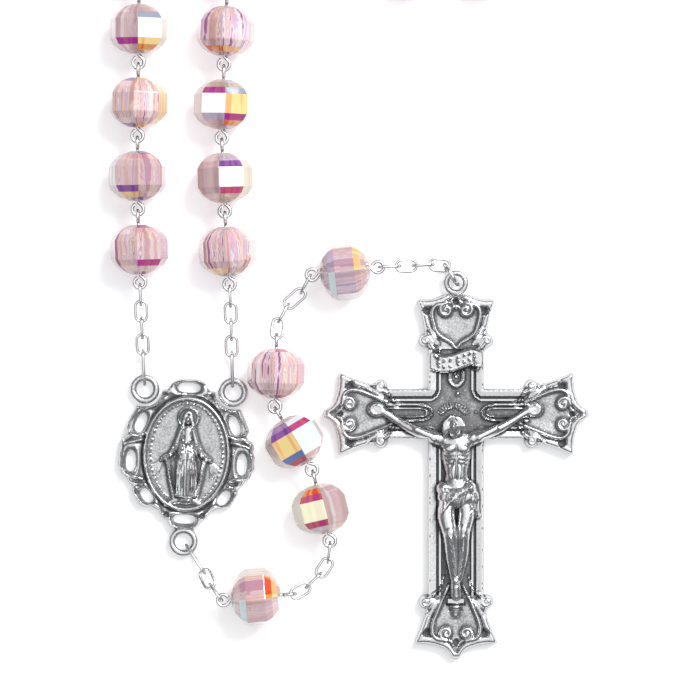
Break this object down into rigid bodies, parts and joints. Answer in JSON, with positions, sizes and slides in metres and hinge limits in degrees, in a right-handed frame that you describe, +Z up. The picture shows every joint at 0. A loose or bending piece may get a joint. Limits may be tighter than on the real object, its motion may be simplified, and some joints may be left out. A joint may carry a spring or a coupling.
{
  "type": "rosary",
  "caption": "Rosary of faceted crystal beads on wire eye pins with chain links, a cast oval centre and a crucifix, laid flat.",
  "frame": {"origin": "middle of the centre medal's flat back, which lies on the table", "axes": "+Z up from the table, +Y up the medal towards its two upper rings, +X to the medal's right seen from above"},
  "size_m": [0.0715, 0.1807, 0.008],
  "materials": {
    "silver_wire": "bright silver-plated wire",
    "antique_casting": "oxidised silver casting, dark in the hollows and bright on the high parts",
    "crystal": "faceted pale rose crystal with a rainbow coating"
  },
  "bodies": {
    "center_medal": {"center_medal": "antique_casting"},
    "link_left_1": {"link_left_1": "silver_wire"},
    "link_left_2": {"link_left_2": "silver_wire"},
    "link_left_3": {"link_left_3": "silver_wire"},
    "link_left_4": {"link_left_4": "silver_wire"},
    "link_left_5": {"link_left_5": "silver_wire"},
    "pin_left_1": {"pin_left_1": "silver_wire"},
    "pin_left_2": {"pin_left_2": "silver_wire"},
    "pin_left_3": {"pin_left_3": "silver_wire"},
    "pin_left_4": {"pin_left_4": "silver_wire"},
    "run_left_1": {"run_left_1": "crystal"},
    "run_left_2": {"run_left_2": "crystal"},
    "run_left_3": {"run_left_3": "crystal"},
    "run_left_4": {"run_left_4": "crystal"},
    "bead_left_1": {"bead_left_1": "crystal"},
    "bead_left_2": {"bead_left_2": "crystal"},
    "bead_left_3": {"bead_left_3": "crystal"},
    "bead_left_4": {"bead_left_4": "crystal"},
    "link_right_1": {"link_right_1": "silver_wire"},
    "link_right_2": {"link_right_2": "silver_wire"},
    "link_right_3": {"link_right_3": "silver_wire"},
    "link_right_4": {"link_right_4": "silver_wire"},
    "link_right_5": {"link_right_5": "silver_wire"},
    "pin_right_1": {"pin_right_1": "silver_wire"},
    "pin_right_2": {"pin_right_2": "silver_wire"},
    "pin_right_3": {"pin_right_3": "silver_wire"},
    "pin_right_4": {"pin_right_4": "silver_wire"},
    "run_right_1": {"run_right_1": "crystal"},
    "run_right_2": {"run_right_2": "crystal"},
    "bead_right_1": {"bead_right_1": "crystal"},
    "bead_right_2": {"bead_right_2": "crystal"},
    "bead_right_3": {"bead_right_3": "crystal"},
    "bead_right_4": {"bead_right_4": "crystal"},
    "link_drop_1": {"link_drop_1": "silver_wire"},
    "link_drop_2": {"link_drop_2": "silver_wire"},
    "link_drop_3": {"link_drop_3": "silver_wire"},
    "pin_drop_1": {"pin_drop_1": "silver_wire"},
    "link_drop_4": {"link_drop_4": "silver_wire"},
    "link_drop_5": {"link_drop_5": "silver_wire"},
    "link_drop_6": {"link_drop_6": "silver_wire"},
    "link_drop_7": {"link_drop_7": "silver_wire"},
    "pin_drop_2": {"pin_drop_2": "silver_wire"},
    "pin_drop_3": {"pin_drop_3": "silver_wire"},
    "pin_drop_4": {"pin_drop_4": "silver_wire"},
    "link_drop_8": {"link_drop_8": "silver_wire"},
    "link_drop_9": {"link_drop_9": "silver_wire"},
    "link_drop_10": {"link_drop_10": "silver_wire"},
    "link_drop_11": {"link_drop_11": "silver_wire"},
    "pin_drop_5": {"pin_drop_5": "silver_wire"},
    "link_drop_12": {"link_drop_12": "silver_wire"},
    "link_drop_13": {"link_drop_13": "silver_wire"},
    "link_drop_14": {"link_drop_14": "silver_wire"},
    "link_drop_15": {"link_drop_15": "silver_wire"},
    "jump_ring": {"jump_ring": "silver_wire"},
    "crucifix": {"crucifix": "antique_casting"},
    "bead_drop_1": {"bead_drop_1": "crystal"},
    "bead_drop_2": {"bead_drop_2": "crystal"},
    "bead_drop_3": {"bead_drop_3": "crystal"},
    "bead_drop_4": {"bead_drop_4": "crystal"},
    "bead_drop_5": {"bead_drop_5": "crystal"}
  },
  "joints": [
    {"name": "crucifix_swivel", "type": "hinge", "parent": "jump_ring", "child": "crucifix", "pos_m": [0.03719, 0.02344, 0.00135], "axis": [0, 0, 1], "range_deg": [0, 90]},
    {"name": "jump_ring_swing", "type": "hinge", "parent": "link_drop_15", "child": "jump_ring", "pos_m": [0.03621, 0.02589, 0.00271], "axis": [-0.0632, -0.998, 0], "range_deg": [-40, 30]},
    {"name": "pin_drop_1_swing", "type": "hinge", "parent": "link_drop_3", "child": "pin_drop_1", "pos_m": [0.00435, -0.02004, 0.00384], "axis": [0.0875, -0.9962, 0], "range_deg": [-40, 20]},
    {"name": "pin_drop_2_swing", "type": "hinge", "parent": "link_drop_7", "child": "pin_drop_2", "pos_m": [0.01994, -0.01262, 0.00388], "axis": [0.9712, 0.2381, 0], "range_deg": [-60, 60]},
    {"name": "pin_drop_3_swing", "type": "hinge", "parent": "pin_drop_2", "child": "pin_drop_3", "pos_m": [0.01771, -0.00278, 0.0039], "axis": [-0.8578, -0.514, 0], "range_deg": [-60, 60]},
    {"name": "pin_drop_4_swing", "type": "hinge", "parent": "pin_drop_3", "child": "pin_drop_4", "pos_m": [0.01221, 0.00576, 0.0039], "axis": [-0.9997, 0.0232, 0], "range_deg": [-60, 60]},
    {"name": "pin_drop_5_swing", "type": "hinge", "parent": "link_drop_11", "child": "pin_drop_5", "pos_m": [0.01649, 0.02452, 0.00376], "axis": [0.1147, -0.9934, 0], "range_deg": [-40, 35]},
    {"name": "link_drop_1_swing", "type": "hinge", "parent": "center_medal", "child": "link_drop_1", "pos_m": [0.00059, -0.01332, 0.00112], "axis": [-0.8284, -0.5602, 0], "range_deg": [-60, 60]},
    {"name": "link_left_1_swing", "type": "hinge", "parent": "center_medal", "child": "link_left_1", "pos_m": [-0.00581, 0.01054, 0.00112], "axis": [0.9993, 0.0377, 0], "range_deg": [-60, 60]},
    {"name": "link_right_1_swing", "type": "hinge", "parent": "center_medal", "child": "link_right_1", "pos_m": [0.00628, 0.01009, 0.00112], "axis": [0.9998, 0.0174, 0], "range_deg": [-60, 60]},
    {"name": "bead_drop_1_spin", "type": "hinge", "parent": "pin_drop_1", "child": "bead_drop_1", "pos_m": [0.00967, -0.01957, 0.00387], "axis": [0.9962, 0.0875, 0.0049], "continuous": true},
    {"name": "bead_left_1_spin", "type": "hinge", "parent": "pin_left_1", "child": "bead_left_1", "pos_m": [-0.00641, 0.02808, 0.00371], "axis": [-0.0282, 0.999, 0.0355], "continuous": true},
    {"name": "bead_right_1_spin", "type": "hinge", "parent": "pin_right_1", "child": "bead_right_1", "pos_m": [0.0057, 0.02782, 0.00372], "axis": [-0.0637, 0.9974, 0.0339], "continuous": true},
    {"name": "pin_left_1_swing", "type": "hinge", "parent": "link_left_5", "child": "pin_left_1", "pos_m": [-0.00626, 0.02274, 0.00352], "axis": [-0.9996, -0.0282, 0], "range_deg": [-60, 60]},
    {"name": "pin_left_2_swing", "type": "hinge", "parent": "pin_left_1", "child": "pin_left_2", "pos_m": [-0.00656, 0.03279, 0.0039], "axis": [-1, -0.0055, 0], "range_deg": [-60, 60]},
    {"name": "pin_left_3_swing", "type": "hinge", "parent": "pin_left_2", "child": "pin_left_3", "pos_m": [-0.00663, 0.04285, 0.0039], "axis": [0.9999, -0.0128, 0], "range_deg": [-60, 60]},
    {"name": "pin_left_4_swing", "type": "hinge", "parent": "pin_left_3", "child": "pin_left_4", "pos_m": [-0.0065, 0.05291, 0.0039], "axis": [1, -0.0074, 0], "range_deg": [-60, 60]},
    {"name": "pin_right_1_swing", "type": "hinge", "parent": "link_right_5", "child": "pin_right_1", "pos_m": [0.00604, 0.0225, 0.00354], "axis": [-0.998, -0.0638, 0], "range_deg": [-60, 60]},
    {"name": "pin_right_2_swing", "type": "hinge", "parent": "pin_right_1", "child": "pin_right_2", "pos_m": [0.00538, 0.03253, 0.0039], "axis": [-0.9992, -0.0401, 0], "range_deg": [-60, 60]},
    {"name": "pin_right_3_swing", "type": "hinge", "parent": "pin_right_2", "child": "pin_right_3", "pos_m": [0.00494, 0.04258, 0.0039], "axis": [0.9996, -0.0278, 0], "range_deg": [-60, 60]},
    {"name": "pin_right_4_swing", "type": "hinge", "parent": "pin_right_3", "child": "pin_right_4", "pos_m": [0.00521, 0.05264, 0.0039], "axis": [0.9991, -0.0436, 0], "range_deg": [-60, 60]},
    {"name": "run_left_1_swing", "type": "hinge", "parent": "pin_left_4", "child": "run_left_1", "pos_m": [-0.00642, 0.06297, 0.0039], "axis": [-1, 0.0001, 0], "range_deg": [-45, 45]},
    {"name": "run_left_2_swing", "type": "hinge", "parent": "run_left_1", "child": "run_left_2", "pos_m": [-0.00651, 0.13257, 0.0039], "axis": [0.9988, -0.0485, 0], "range_deg": [-45, 45]},
    {"name": "run_left_3_swing", "type": "hinge", "parent": "run_left_2", "child": "run_left_3", "pos_m": [0.04059, 0.14852, 0.0039], "axis": [-0.0367, -0.9993, 0], "range_deg": [-45, 45]},
    {"name": "run_left_4_swing", "type": "hinge", "parent": "run_left_3", "child": "run_left_4", "pos_m": [0.057, 0.09099, 0.0039], "axis": [-1, 0, 0], "range_deg": [-45, 45]},
    {"name": "run_right_1_swing", "type": "hinge", "parent": "pin_right_4", "child": "run_right_1", "pos_m": [0.00567, 0.06269, 0.0039], "axis": [-1, -0.0005, 0], "range_deg": [-45, 45]},
    {"name": "run_right_2_swing", "type": "hinge", "parent": "run_right_1", "child": "run_right_2", "pos_m": [0.0057, 0.13253, 0.0039], "axis": [-0.4621, 0.8868, 0], "range_deg": [-45, 45]},
    {"name": "link_left_2_swing", "type": "hinge", "parent": "link_left_1", "child": "link_left_2", "pos_m": [-0.00593, 0.01368, 0.00195], "axis": [-0.9993, -0.0377, 0], "range_deg": [-60, 60]},
    {"name": "link_left_3_swing", "type": "hinge", "parent": "link_left_2", "child": "link_left_3", "pos_m": [-0.00604, 0.01647, 0.00251], "axis": [-0.9993, -0.0377, 0], "range_deg": [-60, 60]},
    {"name": "link_left_4_swing", "type": "hinge", "parent": "link_left_3", "child": "link_left_4", "pos_m": [-0.0061, 0.01821, 0.00284], "axis": [0.9994, 0.0353, 0], "range_deg": [-60, 60]},
    {"name": "link_left_5_swing", "type": "hinge", "parent": "link_left_4", "child": "link_left_5", "pos_m": [-0.0062, 0.02103, 0.00328], "axis": [0.9994, 0.0353, 0], "range_deg": [-60, 60]},
    {"name": "bead_left_2_spin", "type": "hinge", "parent": "pin_left_2", "child": "bead_left_2", "pos_m": [-0.00659, 0.03813, 0.0039], "axis": [-0.0055, 1, 0.0001], "continuous": true},
    {"name": "bead_left_3_spin", "type": "hinge", "parent": "pin_left_3", "child": "bead_left_3", "pos_m": [-0.00656, 0.04819, 0.0039], "axis": [0.0128, 0.9999, 0], "continuous": true},
    {"name": "bead_left_4_spin", "type": "hinge", "parent": "pin_left_4", "child": "bead_left_4", "pos_m": [-0.00646, 0.05825, 0.0039], "axis": [0.0074, 1, 0], "continuous": true},
    {"name": "link_right_2_swing", "type": "hinge", "parent": "link_right_1", "child": "link_right_2", "pos_m": [0.00627, 0.01343, 0.00196], "axis": [-0.9998, -0.0174, 0], "range_deg": [-60, 60]},
    {"name": "link_right_3_swing", "type": "hinge", "parent": "link_right_2", "child": "link_right_3", "pos_m": [0.00622, 0.01623, 0.00252], "axis": [-0.9998, -0.0174, 0], "range_deg": [-60, 60]},
    {"name": "link_right_4_swing", "type": "hinge", "parent": "link_right_3", "child": "link_right_4", "pos_m": [0.00618, 0.01796, 0.00286], "axis": [0.9995, 0.0309, 0], "range_deg": [-60, 60]},
    {"name": "link_right_5_swing", "type": "hinge", "parent": "link_right_4", "child": "link_right_5", "pos_m": [0.0061, 0.02078, 0.0033], "axis": [0.9995, 0.0309, 0], "range_deg": [-60, 60]},
    {"name": "bead_right_2_spin", "type": "hinge", "parent": "pin_right_2", "child": "bead_right_2", "pos_m": [0.00517, 0.03786, 0.0039], "axis": [-0.0401, 0.9992, 0.0001], "continuous": true},
    {"name": "bead_right_3_spin", "type": "hinge", "parent": "pin_right_3", "child": "bead_right_3", "pos_m": [0.00508, 0.04792, 0.0039], "axis": [0.0278, 0.9996, 0], "continuous": true},
    {"name": "bead_right_4_spin", "type": "hinge", "parent": "pin_right_4", "child": "bead_right_4", "pos_m": [0.00544, 0.05797, 0.0039], "axis": [0.0436, 0.9991, 0], "continuous": true},
    {"name": "link_drop_2_swing", "type": "hinge", "parent": "link_drop_1", "child": "link_drop_2", "pos_m": [0.00231, -0.01594, 0.00208], "axis": [0.8903, 0.4553, 0], "range_deg": [-60, 60]},
    {"name": "link_drop_3_swing", "type": "hinge", "parent": "link_drop_2", "child": "link_drop_3", "pos_m": [0.00352, -0.0183, 0.00312], "axis": [0.8903, 0.4553, 0], "range_deg": [-60, 60]},
    {"name": "link_drop_4_swing", "type": "hinge", "parent": "pin_drop_1", "child": "link_drop_4", "pos_m": [0.01449, -0.01938, 0.00402], "axis": [0.4917, -0.8708, 0], "range_deg": [-60, 60]},
    {"name": "link_drop_5_swing", "type": "hinge", "parent": "link_drop_4", "child": "link_drop_5", "pos_m": [0.01692, -0.01802, 0.0034], "axis": [-0.4917, 0.8708, 0], "range_deg": [-60, 60]},
    {"name": "link_drop_6_swing", "type": "hinge", "parent": "link_drop_5", "child": "link_drop_6", "pos_m": [0.01821, -0.01676, 0.00319], "axis": [-0.8384, 0.5451, 0], "range_deg": [-60, 60]},
    {"name": "link_drop_7_swing", "type": "hinge", "parent": "link_drop_6", "child": "link_drop_7", "pos_m": [0.01976, -0.01438, 0.00336], "axis": [0.8384, -0.5451, 0], "range_deg": [-60, 60]},
    {"name": "link_drop_8_swing", "type": "hinge", "parent": "pin_drop_4", "child": "link_drop_8", "pos_m": [0.01238, 0.01588, 0.00404], "axis": [0.9904, -0.1381, 0], "range_deg": [-60, 60]},
    {"name": "link_drop_9_swing", "type": "hinge", "parent": "link_drop_8", "child": "link_drop_9", "pos_m": [0.01276, 0.01865, 0.00349], "axis": [0.9904, -0.1381, 0], "range_deg": [-60, 60]},
    {"name": "link_drop_10_swing", "type": "hinge", "parent": "link_drop_9", "child": "link_drop_10", "pos_m": [0.01363, 0.02023, 0.00309], "axis": [-0.664, 0.7477, 0], "range_deg": [-60, 60]},
    {"name": "link_drop_11_swing", "type": "hinge", "parent": "link_drop_10", "child": "link_drop_11", "pos_m": [0.01617, 0.02248, 0.00315], "axis": [-0.664, 0.7477, 0], "range_deg": [-60, 60]},
    {"name": "link_drop_12_swing", "type": "hinge", "parent": "pin_drop_5", "child": "link_drop_12", "pos_m": [0.0271, 0.02574, 0.00393], "axis": [0.1147, -0.9934, 0], "range_deg": [-60, 60]},
    {"name": "link_drop_13_swing", "type": "hinge", "parent": "link_drop_12", "child": "link_drop_13", "pos_m": [0.02882, 0.02581, 0.00371], "axis": [-0.0352, 0.9994, 0], "range_deg": [-60, 60]},
    {"name": "link_drop_14_swing", "type": "hinge", "parent": "link_drop_13", "child": "link_drop_14", "pos_m": [0.03163, 0.0259, 0.00325], "axis": [-0.0352, 0.9994, 0], "range_deg": [-60, 60]},
    {"name": "link_drop_15_swing", "type": "hinge", "parent": "link_drop_14", "child": "link_drop_15", "pos_m": [0.0334, 0.02607, 0.00311], "axis": [-0.0632, -0.998, 0], "range_deg": [-60, 60]},
    {"name": "bead_drop_2_spin", "type": "hinge", "parent": "pin_drop_2", "child": "bead_drop_2", "pos_m": [0.01866, -0.00743, 0.00389], "axis": [-0.2381, 0.9712, 0.0022], "continuous": true},
    {"name": "bead_drop_3_spin", "type": "hinge", "parent": "pin_drop_3", "child": "bead_drop_3", "pos_m": [0.01497, 0.0018, 0.0039], "axis": [-0.514, 0.8578, 0], "continuous": true},
    {"name": "bead_drop_4_spin", "type": "hinge", "parent": "pin_drop_4", "child": "bead_drop_4", "pos_m": [0.01233, 0.0111, 0.00391], "axis": [0.0232, 0.9997, 0.0031], "continuous": true},
    {"name": "bead_drop_5_spin", "type": "hinge", "parent": "pin_drop_5", "child": "bead_drop_5", "pos_m": [0.0218, 0.02513, 0.00385], "axis": [0.9933, 0.1147, 0.016], "continuous": true}
  ]
}
